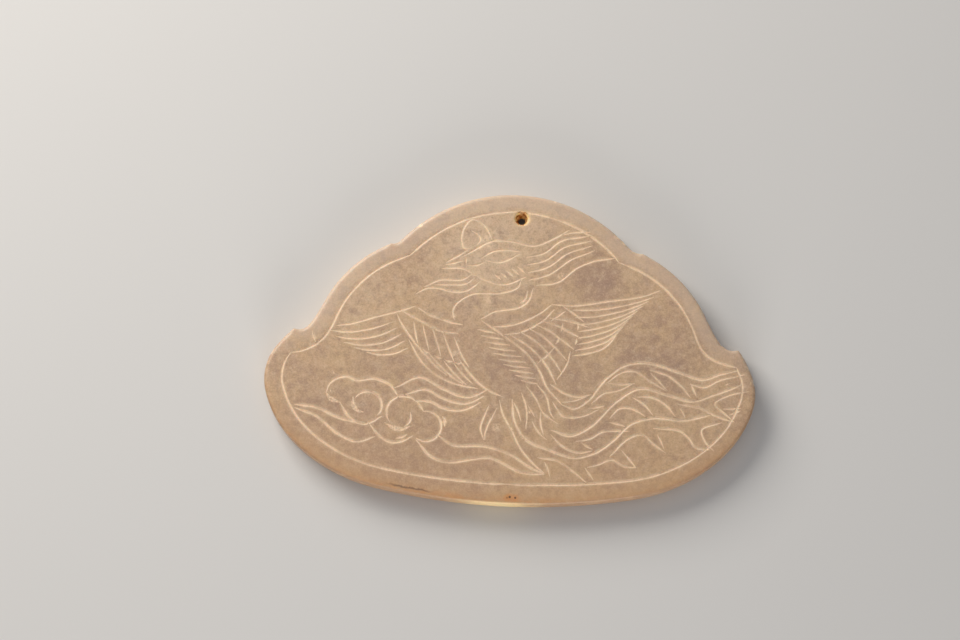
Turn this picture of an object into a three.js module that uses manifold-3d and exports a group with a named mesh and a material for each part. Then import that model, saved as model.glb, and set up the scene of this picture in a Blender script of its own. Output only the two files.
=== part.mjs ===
// Lobed jade head plaque: a phoenix flying over clouds inside an incised border, with one
// drilled hole near the top edge. Millimetres. It lies on its plain back: the origin is the
// middle of the back, +X runs along the plaque, +Y to the drilled edge, +Z out of the carved face.
import * as THREE from "three";
import Module from "manifold-3d";

const wasm = await Module();
wasm.setup();

// Driving sizes.
const plaqueWidth = 85;
const plaqueHeight = 54;
const plaqueThickness = 5;
const edgeRounding = 0.6;
const holeMouth = 2.3;
const holeWaist = 1.1;
const holeWaistDrop = 0.3;
const holeFromTop = 4.1;
const holeFromMiddle = 0.8;
const borderInset = 3;
const borderGroove = 0.62;
const fineGroove = 0.46;
const boldGroove = 0.64;
const grooveDepth = 0.32;

// How finely curves are followed.
const outlineTolerance = 0.05;
const grooveTolerance = 0.1;
const roundingSteps = 2;
const holeSides = 28;

// The face is drawn on a sheet of this size; the plaque's width and height stretch the sheet.
const sheet = { width: 85, height: 54 };
const stretchX = plaqueWidth / sheet.width;
const stretchY = plaqueHeight / sheet.height;

// Circles of the lobes on the sheet. A side is written as its right half; the left is mirrored.
const topLobe = { centre: [0, 0], radius: 27 };
const bottomEdge = { centre: [0, 89.3], radius: 116.3 };
const rightSide = {
  mirror: 1,
  upper: { centre: [13, -3.4], radius: 22.9 },
  lower: { centre: [33.6, -6.4], radius: 8.9 },
  horn: [39.2, 1.5],
  lobeInset: 1.9,
};
const leftSide = {
  mirror: -1,
  upper: { centre: [13, -2.6], radius: 21.9 },
  lower: { centre: [33.2, -6.7], radius: 9.3 },
  horn: [37.8, 1.9],
  lobeInset: 2.7,
};

// Angles, in degrees, where the edge leaves one circle and takes up the next.
const topLeaves = 45.5;
const shoulderStarts = 66.5;
const upperLeaves = 27;
const lowerStarts = 25;
const lowerLeaves = -15;
const bottomStarts = -79;

const radians = (degrees) => (degrees * Math.PI) / 180;
const plus = (a, b, share = 1) => [a[0] + b[0] * share, a[1] + b[1] * share];
const distance = (a, b) => Math.hypot(a[0] - b[0], a[1] - b[1]);
const mix = (a, b, share) => a.map((value, i) => value + (b[i] - value) * share);
const onCircle = ({ centre, radius }, degrees) => [
  centre[0] + radius * Math.cos(radians(degrees)),
  centre[1] + radius * Math.sin(radians(degrees)),
];
const downCircle = (degrees) => [Math.sin(radians(degrees)), -Math.cos(radians(degrees))];

function arc(circle, from, to, steps = 48) {
  const points = [];
  for (let i = 0; i <= steps; i += 1) {
    points.push(onCircle(circle, from + ((to - from) * i) / steps));
  }
  return points;
}

function bezier(start, leave, arrive, end, steps = 24) {
  const points = [];
  for (let i = 0; i <= steps; i += 1) {
    const t = i / steps;
    const first = mix(mix(start, leave, t), mix(leave, arrive, t), t);
    const second = mix(mix(leave, arrive, t), mix(arrive, end, t), t);
    points.push(mix(first, second, t));
  }
  return points;
}

// A smooth curve through a few guide points.
function through(...guides) {
  const knots = guides.map(([x, y]) => new THREE.Vector3(x, y, 0));
  const curve = new THREE.CatmullRomCurve3(knots, false, "centripetal");
  return curve.getPoints((guides.length - 1) * 12).map(({ x, y }) => [x, y]);
}

// Drops the points that lie within the tolerance of a straight run.
function thin(points, tolerance) {
  const [start, end] = [points[0], points[points.length - 1]];
  const run = Math.max(distance(start, end), 1e-9);
  let furthest = 0;
  let split = 0;
  for (let i = 1; i < points.length - 1; i += 1) {
    const [dx, dy] = [points[i][0] - start[0], points[i][1] - start[1]];
    const across = distance(start, end) < 1e-6
      ? Math.hypot(dx, dy)
      : Math.abs(dx * (end[1] - start[1]) - dy * (end[0] - start[0])) / run;
    if (across > furthest) {
      furthest = across;
      split = i;
    }
  }
  if (furthest <= tolerance) return [start, end];
  const before = thin(points.slice(0, split + 1), tolerance);
  return [...before.slice(0, -1), ...thin(points.slice(split), tolerance)];
}

// The upper of the two points where circles cross.
function crossing(a, b) {
  const apart = distance(a.centre, b.centre);
  const along = (apart * apart + a.radius * a.radius - b.radius * b.radius) / (2 * apart);
  const off = Math.sqrt(Math.max(a.radius * a.radius - along * along, 0));
  const unit = [(b.centre[0] - a.centre[0]) / apart, (b.centre[1] - a.centre[1]) / apart];
  const foot = plus(a.centre, unit, along);
  const ends = [plus(foot, [-unit[1], unit[0]], off), plus(foot, [unit[1], -unit[0]], off)];
  return ends[0][1] > ends[1][1] ? ends[0] : ends[1];
}

const angleOn = ({ centre }, point) =>
  (Math.atan2(point[1] - centre[1], point[0] - centre[0]) * 180) / Math.PI;

// The edge from the top down to the first horn's notch, and on to the horn at the second notch.
function upperEdge({ upper, horn }) {
  const notch = onCircle(topLobe, topLeaves);
  const shoulder = onCircle(upper, shoulderStarts);
  const waist = onCircle(upper, upperLeaves);
  return [
    ...arc(topLobe, 90, topLeaves),
    ...bezier(notch, plus(notch, downCircle(topLeaves), 1.5), plus(shoulder, [-1.5, 0.05]), shoulder),
    ...arc(upper, shoulderStarts, upperLeaves),
    ...bezier(waist, plus(waist, downCircle(upperLeaves), 5.7), plus(horn, [-2.1, -0.4]), horn),
  ];
}

// The edge from the horn round the lower lobe to the middle of the bottom.
function lowerEdge({ lower, horn }) {
  const lobe = onCircle(lower, lowerStarts);
  const leaves = onCircle(lower, lowerLeaves);
  const bottom = onCircle(bottomEdge, bottomStarts);
  return [
    ...bezier(horn, plus(horn, [1.1, -1]), plus(lobe, downCircle(lowerStarts), -1.9), lobe),
    ...arc(lower, lowerStarts, lowerLeaves),
    ...bezier(leaves, plus(leaves, downCircle(lowerLeaves), 8.8), plus(bottom, [8.8, 1.7]), bottom),
    ...arc(bottomEdge, bottomStarts, -90),
  ];
}

const mirrored = (points, { mirror }) => points.map(([x, y]) => [x * mirror, y]);
const onPlaque = ([x, y]) => [x * stretchX, y * stretchY];

function withoutRepeats(points) {
  return points.filter((point, i) => i === 0 || distance(point, points[i - 1]) > 1e-4);
}

function outline() {
  const right = [...upperEdge(rightSide), ...lowerEdge(rightSide)];
  const left = mirrored([...upperEdge(leftSide), ...lowerEdge(leftSide)], leftSide).reverse();
  const turn = withoutRepeats(right).map(onPlaque);
  const back = withoutRepeats(left).map(onPlaque);
  return [...thin(turn, outlineTolerance), ...thin(back, outlineTolerance).slice(1, -1)];
}

// The border: each lobe's edge moved inwards, meeting its neighbours in inward cusps.
function borderSide(side) {
  const top = { ...topLobe, radius: topLobe.radius - borderInset };
  const upper = { ...side.upper, radius: side.upper.radius - borderInset };
  const cusp = crossing(top, upper);
  const bend = onCircle(upper, 20);
  const lower = insetEdge(lowerEdge(side), side.lobeInset, 1.17 * borderInset);
  const hook = lower[0];
  return [
    mirrored(arc(top, 90, angleOn(top, cusp)), side),
    mirrored(
      [
        ...arc(upper, angleOn(upper, cusp), 20),
        ...bezier(bend, plus(bend, downCircle(20), 3.6), plus(hook, [-4, 0.7]), hook),
      ],
      side,
    ),
    mirrored(lower, side),
  ];
}

// Moves an edge inwards by an inset that grows along it, leaving out its first steps.
function insetEdge(edge, firstInset, lastInset) {
  const skipped = 14;
  const points = withoutRepeats(edge);
  return points.slice(skipped).map((point, i) => {
    const before = points[i + skipped - 1];
    const after = points[Math.min(i + skipped + 1, points.length - 1)];
    const run = distance(before, after);
    const inward = [(after[1] - before[1]) / run, -(after[0] - before[0]) / run];
    const share = Math.min(1, i / (0.8 * points.length));
    return plus(point, inward, firstInset + (lastInset - firstInset) * share);
  });
}

// Strokes spread evenly between two guide strokes, or bent through a third one halfway.
function fan(count, first, last, middle = mix(first.flat(), last.flat(), 0.5)) {
  const [a, b, c] = [first.flat(), middle.flat(), last.flat()];
  const strokes = [];
  for (let i = 0; i < count; i += 1) {
    const t = i / (count - 1);
    const values = a.map(
      (value, k) =>
        2 * (t - 0.5) * (t - 1) * value + 4 * t * (1 - t) * b[k] + 2 * t * (t - 0.5) * c[k],
    );
    const guides = [];
    for (let k = 0; k < values.length; k += 2) guides.push([values[k], values[k + 1]]);
    strokes.push(guides.length > 2 ? through(...guides) : guides);
  }
  return strokes;
}

// A curl whose radius grows evenly while it turns.
function curl(centre, fromRadius, toRadius, from, to) {
  const points = [];
  for (let i = 0; i <= 40; i += 1) {
    const radius = fromRadius + ((toRadius - fromRadius) * i) / 40;
    points.push(onCircle({ centre, radius }, from + ((to - from) * i) / 40));
  }
  return points;
}

const head = [
  through([-7.6, 17.3], [-9, 17.3], [-9.6, 18.9], [-9.1, 21], [-7.8, 22.4], [-5.8, 21.4], [-4.2, 19]),
  through([-7.8, 20.3], [-6.9, 19.8], [-6.2, 18.8], [-6.8, 17.9]),
  through([-11.9, 14.6], [-10.3, 15.7], [-8.3, 16.9]),
  through([-12, 14.2], [-10.6, 14.6], [-9, 15]),
  through([-9.2, 15.7], [-7.4, 16.9], [-4.2, 18.7], [-1, 18.8], [3, 18.2], [6.2, 19.5], [9.1, 21.2]),
  through([-8.6, 15.6], [-8.5, 14.4]),
  through([-12.7, 13.5], [-9.2, 13.7], [-5.6, 12], [-2, 11.2], [1.9, 12.6]),
  through([-6, 15.5], [-4.2, 16.8], [-1.8, 17.25], [0.9, 17]),
  through([-5.2, 15.2], [-2.6, 15.1], [0.7, 16.6]),
  through([-8.3, 14.2], [-6.6, 14.4], [-5.2, 15]),
  ...fan(5, [[-3.4, 12.8], [-2.4, 12]], [[0.4, 14.4], [1.8, 13.3]]),
];

const crest = [
  through([8.1, 20.3], [9.6, 20.8], [12.8, 21]),
  ...fan(4, [[1.9, 16.1], [5, 17.1], [7.8, 19.3], [12.6, 20.3]],
    [[2.5, 12.1], [6.2, 13.5], [9.6, 16.1], [13.6, 17.8]]),
  through([3.8, 11.3], [7.6, 12.1], [10.6, 14.6], [13.6, 16], [17.2, 16.6]),
];

const beard = [
  through([-7.4, 12.7], [-9.2, 11.7], [-13, 11.5], [-15.6, 10.1]),
  through([-6.8, 12.2], [-8.6, 11], [-11, 10.8], [-13.6, 10.6]),
  through([-5.9, 11.6], [-8.2, 9.9], [-10.4, 9.55], [-13.6, 10.1], [-15.4, 9.9], [-17, 8.8]),
];

const neck = [
  through([1.2, 12], [0.6, 10.8], [-2.3, 9.7], [-7.2, 9.3], [-10, 7.4], [-10.5, 6.1], [-10.1, 4.6]),
  through([3.3, 10.8], [2.5, 8.6], [0.9, 7.3], [-3.3, 6.4], [-5.6, 4.9]),
  through([2.4, 10.3], [1.9, 8.8], [1.1, 8]),
];

const leftWing = [
  through([-30.4, 2.7], [-27.6, 3.3], [-24, 4.5], [-20, 5.7], [-17, 6.7]),
  through([-16.4, 6.4], [-14.6, 5.4], [-10.8, 4.2], [-8.6, 3.8]),
  through([-19.5, 5.9], [-15.8, 4.1], [-12.5, 2.65], [-9.3, 2.3]),
  through([-20.1, 5.3], [-19.4, 3.8], [-17.6, 1.3], [-15.2, -1.4], [-12.85, -3.75], [-10.9, -5.1]),
  through([-17.8, 0.8], [-15.9, -2.4], [-13.6, -4.6], [-10.4, -6.2], [-5.5, -7.2]),
  through([-8.9, -2.3], [-7.1, -4.6], [-4.4, -7], [-1.2, -8.4]),
  ...fan(5, [[-31.4, 1.8], [-28, 1.8], [-24.5, 2.5], [-21, 3.7]],
    [[-25, -1.7], [-23, -1.95], [-20.5, -1.7], [-18, -0.7]],
    [[-29, -0.15], [-26, -0.4], [-22.7, 0.05], [-19.2, 1.7]]),
  ...fan(4, [[-15.3, -0.75], [-14.75, -1.2], [-14.15, -1.35]],
    [[-9.7, -2.8], [-9.1, -2.95], [-8.5, -2.8]],
    [[-12.3, -2.1], [-11.7, -2.4], [-11, -2.45]]),
  ...fan(5, [[-17.1, 4.05], [-16.9, 2.55], [-16.55, 1.2], [-16.2, 0.2]],
    [[-10, 1.6], [-9.3, -0.1], [-8.35, -2], [-7.2, -3.5]],
    [[-13.75, 2.9], [-13.3, 1.35], [-12.7, -0.25], [-12.15, -1.8]]),
  ...fan(3, [[-14.2, -1.4], [-12.5, -3.3], [-10.4, -5.1], [-8.1, -6.5]],
    [[-9.8, -3], [-9.1, -3.9], [-8, -5.05], [-6.5, -6.35]],
    [[-11.6, -2.6], [-10.6, -3.8], [-9.2, -5.25], [-7.5, -6.6]]),
];

const rightWing = [
  through([-3.5, 3.65], [0.5, 4.4], [3.5, 5.8], [6.7, 8.05]),
  through([6.7, 8.05], [10.8, 8.1], [16.5, 9.1], [21.8, 10.1], [25.3, 11.3]),
  through([-1.4, 2.4], [1.8, 3.2], [4.8, 4.9], [7.1, 7.2]),
  through([9.1, 7], [8, 6.3], [6.7, 5.2]),
  through([8.5, 7.9], [10.2, 6.8], [12.3, 5.3]),
  through([-5.4, 4.7], [-1, 1.9], [2.5, -0.6], [4.9, -3.6], [6.4, -6.5], [9.2, -9.4]),
  through([10.2, 0], [9.7, -2], [8.1, -5]),
  ...fan(2, [[8.7, 4.9], [8.4, 3.3]], [[8.2, 2.3], [7.6, 1.2]]),
  ...fan(2, [[11.3, 4.8], [11.3, 3.8]], [[11.2, 2.3], [11, 1.2]]),
  through([7.4, 0.5], [6.2, -0.8], [4.6, -2.3]),
  ...fan(6, [[6.2, 5.7], [8.7, 5.5], [11, 5], [13.2, 4.35]],
    [[-0.3, 2.4], [3, 0.5], [5.9, -2.4], [8, -5.9]],
    [[3.6, 4], [5.8, 2.95], [8.1, 1.15], [10.2, -0.6]]),
  ...fan(8, [[10.3, 7.25], [15, 7.6], [19.5, 8.6], [24.2, 10.1]],
    [[10.6, -0.75], [13.5, -0.05], [16, 1], [18.3, 3.6]],
    [[11.5, 2.95], [14.5, 3.75], [17.6, 4.9], [21.2, 7.2]]),
];

const breast = [
  ...fan(10, [[-6, 3.15], [-2.8, 2.6]], [[1.9, -5.4], [4.8, -5.9]], [[-2.6, -1.4], [2.2, -1.75]]),
];

const scarf = [
  ...fan(3, [[-19.9, -7.7], [-15.8, -5.6], [-11.5, -7.5], [-7.5, -8.7], [-3.9, -7.4]],
    [[-16, -9.8], [-13.8, -9.75], [-11.2, -10.85], [-8.2, -11], [-4.9, -9.5]]),
];

const legAndTailRoot = [
  through([-3.4, -9.9], [-4.3, -12], [-4.8, -14], [-4.1, -16]),
  through([-2.1, -10.5], [-3.4, -13], [-3.95, -14.8], [-3.9, -16]),
  through([-1.7, -9], [-1.1, -11.3], [0.6, -14.2], [2.3, -17.3], [4.6, -19.8], [6.6, -21.3]),
  through([0.8, -9.3], [1.5, -10.7], [2.2, -12.5]),
  through([2.1, -7.6], [3, -10.4], [3.1, -13.8]),
  through([3.3, -9.7], [3.8, -10.6], [4.5, -11.6]),
  through([4.1, -12.4], [5, -14], [6.7, -15.5]),
  through([2.8, -6.3], [4.6, -8.6], [5.8, -10.8], [8.6, -12.7]),
  through([5.5, -10.6], [5.5, -12.6], [6.2, -14.8]),
  through([4.7, -6], [6.4, -8.2], [7, -10.5], [7.9, -11.9]),
];

const clouds = [
  through([-19.2, -9.2], [-20.6, -7.3], [-23.6, -6.2], [-26.4, -6.6], [-28.6, -6], [-31, -7.1], [-31.7, -9]),
  through([-29.2, -10.6], [-27.9, -12.7], [-26.6, -13.7], [-25, -14.1], [-23.4, -13.6], [-21.9, -12.7]),
  curl([-24.45, -10.9], 2.45, 2.45, 150, -42),
  curl([-18.5, -12], 3.2, 2.5, 40, 220),
  curl([-19, -12.4], 2.1, 2.2, 15, -60),
  through([-16, -9.8], [-15.3, -10.7], [-14.7, -11.5]),
  curl([-14.2, -14], 2.5, 2.7, 100, -125),
  through([-23.9, -14.1], [-22.3, -16], [-20, -17.1], [-18, -16.7], [-16.4, -15.9]),
  through([-19.2, -16.4], [-18.3, -16.1], [-17.4, -15.7]),
  through([-37.1, -11.3], [-33.4, -11.6], [-29.2, -13.3], [-24.6, -14]),
  through([-36.9, -11.9], [-33.3, -13.1], [-29.6, -15.9], [-26.3, -17.2], [-22.9, -16.3]),
  through([-12, -15.6], [-9.4, -17.1], [-4, -17.1], [0.4, -18.3], [4, -20.4], [6.6, -21.5]),
  through([-15.8, -16.5], [-13.1, -19.3], [-10, -20.1], [-3, -19.1], [2.4, -21.3], [6.6, -21.5]),
  ...fan(2, [[-11.4, -12.3], [-10.7, -13.3]], [[-11.2, -13], [-10.9, -14]]),
];

// The broad, rough crescents inside the cloud heads.
const cloudShading = [
  through([-31.7, -9], [-30.9, -10], [-29.2, -10.6]),
  through([-27, -9.6], [-26.9, -11], [-26.1, -11.9], [-25.1, -12.1]),
  through([-17, -14.2], [-18.4, -14.8], [-19.8, -14.6], [-21.3, -13.8]),
];

// Three long plumes, each with the barbs that leave it.
const tailPlumes = [
  through([9.2, -9.4], [11.2, -9.85], [13.6, -8.3], [16.3, -4.7], [19.5, -2.1], [23.5, -1.4],
    [29, -2.8], [33.2, -3.85], [36.4, -2.7], [39.1, -2.1]),
  through([7.4, -13.8], [10.8, -14.6], [14.3, -12.8], [18.5, -8.3], [22.5, -5.9], [27.5, -6.9],
    [31.5, -7.7], [35.5, -6.3], [40, -4.5]),
  through([0.5, -8.8], [0.9, -12.3], [3, -15.6], [7, -17.2], [11.5, -18.4], [15.5, -17.2],
    [18.4, -14.9], [21.2, -12.1], [25, -10.9], [30, -11.05], [34.7, -10]),
];

const plumeBarbs = [
  through([7, -5.9], [9.6, -7.4], [12, -7.8], [14.2, -7.3]),
  through([9.2, -8.9], [11.4, -8.4], [13.3, -7.8]),
  through([7.5, -8.9], [9.2, -11.2], [12, -11.3], [15.5, -9.9]),
  through([13.7, -9.7], [15, -9.5], [16.5, -9.2]),
  through([14.2, -8.9], [16.2, -7], [18.6, -6.4], [21, -5.3]),
  through([17, -5.2], [18.8, -5.35], [21.5, -5.1]),
  through([16.9, -5.1], [18.8, -3.4], [21.3, -2.9], [24, -4.5], [27, -6.1]),
  through([24.2, -3.1], [25.6, -4.5], [27.2, -6]),
  through([24, -2.6], [27.2, -3.5], [29.6, -5.3], [31.3, -7.1]),
  through([31.2, -4.6], [31.7, -5.8], [32.4, -7]),
  through([31.2, -4.8], [33.6, -5.15], [36.2, -3.8], [40.4, -2.7]),
  through([17.5, -11.3], [19, -9.5], [21.3, -9.5], [23.6, -10.7]),
  through([17.4, -12], [18.7, -12.2], [20.2, -12.6]),
  through([22.1, -7.4], [24.4, -7.3], [27, -8.6], [28.8, -10.5]),
  through([21.3, -7.5], [23.4, -8.8], [24.9, -10.4]),
  through([29, -8.3], [32.8, -8.8], [35.6, -10.05], [38.8, -11]),
  through([29.5, -9], [30, -9.8], [30.5, -10.6]),
  through([41.2, -5.6], [38, -6.3], [35.4, -8], [37.2, -9.6], [39, -11]),
  ...fan(2, [[37, -8.8], [40, -8.6]], [[38.1, -9.8], [40, -9]]),
  through([7.4, -14.6], [9.6, -16.6], [12.2, -17.5], [14.7, -17.1]),
  through([12.8, -15.8], [13.8, -16.4], [14.7, -16.8]),
  through([11.8, -15.6], [14.3, -14.9], [16.4, -13.65], [21, -13.4]),
  through([17.7, -18], [20.6, -14.8], [23, -13.9], [25.2, -15.5], [27.4, -16.9]),
  through([25.8, -13.8], [26.4, -14.9], [27.1, -16.3]),
  through([25.1, -12.7], [29.4, -12.9], [31.2, -14.2], [32.4, -15.7], [35, -16]),
  through([36.8, -11.2], [33.4, -12.5], [34, -14.6], [35.7, -16.2]),
  through([14, -20], [16, -19.3], [18, -18.45], [20.2, -19.5], [22.4, -19.7]),
  through([19.8, -16.8], [21.2, -18.4], [22.4, -19.7]),
  through([13.6, -20.1], [14.2, -21], [15.1, -22.1]),
  through([5.3, -18.7], [8.8, -19.1], [11.6, -20.9], [13.9, -22.6]),
  through([6.6, -19.4], [7.1, -20.6], [7.6, -21.9]),
];

// A closed solid lofted through rings of equal count. Its ends are filled flat.
function ringSolid(rings) {
  const count = rings[0].length;
  const positions = rings.flat(2);
  const triangles = [];
  for (let r = 0; r < rings.length - 1; r += 1) {
    for (let i = 0; i < count; i += 1) {
      const next = (i + 1) % count;
      const [a, b] = [r * count + i, r * count + next];
      triangles.push(a, b, b + count, a, b + count, a + count);
    }
  }
  const last = (rings.length - 1) * count;
  for (const [a, b, c] of endTriangles(rings[0])) triangles.push(a, c, b);
  for (const [a, b, c] of endTriangles(rings[rings.length - 1])) {
    triangles.push(last + a, last + b, last + c);
  }
  return new wasm.Manifold(
    new wasm.Mesh({
      numProp: 3,
      vertProperties: new Float32Array(positions),
      triVerts: new Uint32Array(triangles),
    }),
  );
}

function endTriangles(ring) {
  if (ring.length === 3) return [[0, 1, 2]];
  const flat = ring.map(([x, y]) => new THREE.Vector2(x, y));
  return THREE.ShapeUtils.triangulateShape(flat, []);
}

const insetOf = (points, i) => {
  const before = points[(i + points.length - 1) % points.length];
  const after = points[(i + 1) % points.length];
  const here = points[i];
  const sides = [[before, here], [here, after]].map(([from, to]) => {
    const run = distance(from, to);
    return [-(to[1] - from[1]) / run, (to[0] - from[0]) / run];
  });
  const sum = plus(sides[0], sides[1]);
  const size = sum[0] * sum[0] + sum[1] * sum[1];
  return [(2 * sum[0]) / size, (2 * sum[1]) / size];
};

// The blank: its front and back edges are rounded, less and less towards a sharp horn.
function blank() {
  const edge = outline().reverse();
  const horns = [rightSide, leftSide].flatMap((side) => [
    onPlaque(mirrored([side.horn], side)[0]),
    onPlaque(mirrored([onCircle(side.upper, shoulderStarts)], side)[0]),
  ]);
  const inward = edge.map((_, i) => insetOf(edge, i));
  const radius = edge.map((point) => {
    const nearest = Math.min(...horns.map((horn) => distance(horn, point)));
    return Math.min(edgeRounding, 0.12 + 0.45 * nearest);
  });
  const ringAt = (turn, fromFace) =>
    edge.map((point, i) => {
      const inset = radius[i] * (1 - Math.cos(radians(turn)));
      const drop = radius[i] * (1 - Math.sin(radians(turn)));
      const z = fromFace ? plaqueThickness - drop : drop;
      return [...plus(point, inward[i], inset), z];
    });
  const turns = [];
  for (let i = 0; i <= roundingSteps; i += 1) turns.push((90 * i) / roundingSteps);
  const rings = [
    ...turns.toReversed().map((turn) => ringAt(turn, false)),
    ...turns.map((turn) => ringAt(turn, true)),
  ];
  return ringSolid(rings);
}

// The hole is drilled from both faces. The two bores meet halfway, at a narrow waist that is
// nearer the middle of the plaque than the mouths are.
function holeCutter() {
  const [x, y] = [holeFromMiddle, plaqueHeight / 2 - holeFromTop];
  const beyond = 0.4;
  const slope = (holeMouth - holeWaist) / plaqueThickness;
  const circle = (diameter, z, drop = 0) =>
    Array.from({ length: holeSides }, (_, i) => {
      const turn = (2 * Math.PI * i) / holeSides;
      const across = (diameter / 2) * Math.cos(turn);
      return [x + across, y - drop + (diameter / 2) * Math.sin(turn), z];
    });
  return ringSolid([
    circle(holeMouth + 2 * slope * beyond, -beyond),
    circle(holeWaist, plaqueThickness / 2, holeWaistDrop),
    circle(holeMouth + 2 * slope * beyond, plaqueThickness + beyond),
  ]);
}

// A V groove along a stroke, fading at both ends.
function groove(stroke, width) {
  const fade = 1.1;
  const leastShare = 0.4;
  const lift = 0.3;
  const points = thin(withoutRepeats(stroke.map(onPlaque)), grooveTolerance);
  const reach = [0];
  for (let i = 1; i < points.length; i += 1) {
    reach.push(reach[i - 1] + distance(points[i - 1], points[i]));
  }
  const length = reach[reach.length - 1];
  const rings = points.map((point, i) => {
    const before = points[Math.max(i - 1, 0)];
    const after = points[Math.min(i + 1, points.length - 1)];
    const run = distance(before, after);
    const side = [-(after[1] - before[1]) / run, (after[0] - before[0]) / run];
    const fromEnd = Math.min(reach[i], length - reach[i]);
    const share = Math.min(1, leastShare + ((1 - leastShare) * fromEnd) / fade);
    const depth = grooveDepth * share;
    const half = (width / 2) * share * (1 + lift / depth);
    return [
      [...plus(point, side, half), plaqueThickness + lift],
      [...plus(point, side, -half), plaqueThickness + lift],
      [...point, plaqueThickness - depth],
    ];
  });
  return ringSolid(rings);
}

function engraving() {
  const borders = [rightSide, leftSide].flatMap(borderSide);
  const families = [
    [borders, borderGroove],
    [[...head, ...crest, ...beard, ...neck, ...leftWing, ...rightWing], fineGroove],
    [[...breast, ...legAndTailRoot, ...plumeBarbs], fineGroove],
    [[...scarf, ...clouds, ...tailPlumes], boldGroove],
    [cloudShading, 1.5 * boldGroove],
  ];
  const cutters = families.flatMap(([strokes, width]) =>
    strokes.map((stroke) => groove(stroke, width)),
  );
  return cutters.reduce((all, cutter) => all.add(cutter));
}

function meshOf(solid, name) {
  const { vertProperties, triVerts } = solid.getMesh();
  const geometry = new THREE.BufferGeometry();
  geometry.setAttribute("position", new THREE.BufferAttribute(vertProperties, 3));
  geometry.setIndex(new THREE.BufferAttribute(triVerts, 1));
  geometry.computeVertexNormals();
  const jade = new THREE.MeshStandardMaterial({ color: 0xb3a99a, roughness: 0.35 });
  const mesh = new THREE.Mesh(geometry, jade);
  mesh.name = name;
  return mesh;
}

const plaque = new THREE.Group();
const carved = blank().subtract(holeCutter()).subtract(engraving());
plaque.add(meshOf(carved, "jade_plaque"));

export default plaque;
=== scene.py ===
import math

import bmesh
import bpy
import numpy as np
from mathutils import Matrix, Vector
from mathutils.geometry import delaunay_2d_cdt


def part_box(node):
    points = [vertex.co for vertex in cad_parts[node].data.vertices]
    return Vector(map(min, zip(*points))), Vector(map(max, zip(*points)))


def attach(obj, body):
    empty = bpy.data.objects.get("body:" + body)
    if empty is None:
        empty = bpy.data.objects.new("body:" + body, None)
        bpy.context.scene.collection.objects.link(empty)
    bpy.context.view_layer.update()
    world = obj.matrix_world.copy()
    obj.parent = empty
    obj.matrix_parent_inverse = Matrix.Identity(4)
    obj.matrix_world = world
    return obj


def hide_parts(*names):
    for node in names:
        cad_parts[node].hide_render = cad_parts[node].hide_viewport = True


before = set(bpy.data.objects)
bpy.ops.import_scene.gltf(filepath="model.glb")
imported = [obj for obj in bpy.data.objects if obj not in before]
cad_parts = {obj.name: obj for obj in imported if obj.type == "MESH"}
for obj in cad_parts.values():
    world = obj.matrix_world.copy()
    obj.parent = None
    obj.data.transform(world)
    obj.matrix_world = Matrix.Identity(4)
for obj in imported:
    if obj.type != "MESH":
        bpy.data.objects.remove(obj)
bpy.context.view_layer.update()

low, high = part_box("jade_plaque")
mm = 0.001

# The plaque as the frame has it, in millimetres, and how finely it is made here.
plaque = {
    "width": (high.x - low.x) / mm,
    "height": (high.y - low.y) / mm,
    "thickness": (high.z - low.z) / mm,
    "edgeRounding": 0.6,
    "outlineSpacing": 0.3,
    "backSpacing": 1.3,
    "faceSpacing": 0.62,
    "rimInsets": (0.05, 0.16, 0.32, 0.62),
    "wallLevels": 7,
    "seed": 12,
}
sheet = {"width": 85.0, "height": 54.0}
stretch = np.array([plaque["width"] / sheet["width"], plaque["height"] / sheet["height"]])

topLobe = {"centre": (0, 0), "radius": 27}
bottomEdge = {"centre": (0, 89.3), "radius": 116.3}
rightSide = {
    "mirror": 1,
    "upper": {"centre": (13, -3.4), "radius": 22.9},
    "lower": {"centre": (33.6, -6.4), "radius": 8.9},
    "horn": (39.2, 1.5),
    "lobeInset": 1.9,
}
leftSide = {
    "mirror": -1,
    "upper": {"centre": (13, -2.6), "radius": 21.9},
    "lower": {"centre": (33.2, -6.7), "radius": 9.3},
    "horn": (37.8, 1.9),
    "lobeInset": 2.7,
}
# Angles in degrees where the edge leaves one circle and takes up the next.
turns = {
    "topLeaves": 45.5,
    "shoulderStarts": 66.5,
    "upperLeaves": 27,
    "lowerStarts": 25,
    "lowerLeaves": -15,
    "bottomStarts": -79,
}


def onCircle(circle, degrees):
    turn = np.radians(degrees)
    around = np.stack([np.cos(turn), np.sin(turn)], -1)
    return np.array(circle["centre"], float) + circle["radius"] * around


def downCircle(degrees):
    turn = math.radians(degrees)
    return np.array([math.sin(turn), -math.cos(turn)])


def arc(circle, start, end, steps=48):
    return onCircle(circle, np.linspace(start, end, steps + 1))


def bezier(start, leave, arrive, end, steps=24):
    t = np.linspace(0, 1, steps + 1)[:, None]
    near = start * (1 - t) ** 3 + 3 * leave * t * (1 - t) ** 2
    return near + 3 * arrive * t**2 * (1 - t) + end * t**3


# A smooth curve through a few guide points.
def through(*guides):
    knots = np.array(guides, float)
    padded = np.vstack([2 * knots[0] - knots[1], knots, 2 * knots[-1] - knots[-2]])
    gaps = np.sqrt(np.linalg.norm(np.diff(padded, axis=0), axis=1))
    t = np.linspace(0, 1, 13)[:-1, None]
    runs = []
    for i in range(len(knots) - 1):
        a, b, c, d = padded[i : i + 4]
        before, here, after = gaps[i : i + 3]
        leave = ((b - a) / before - (c - a) / (before + here) + (c - b) / here) * here
        arrive = ((c - b) / here - (d - b) / (here + after) + (d - c) / after) * here
        runs.append(
            b * (2 * t**3 - 3 * t**2 + 1)
            + leave * (t**3 - 2 * t**2 + t)
            + c * (3 * t**2 - 2 * t**3)
            + arrive * (t**3 - t**2)
        )
    return np.vstack([*runs, knots[-1:]])


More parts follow.
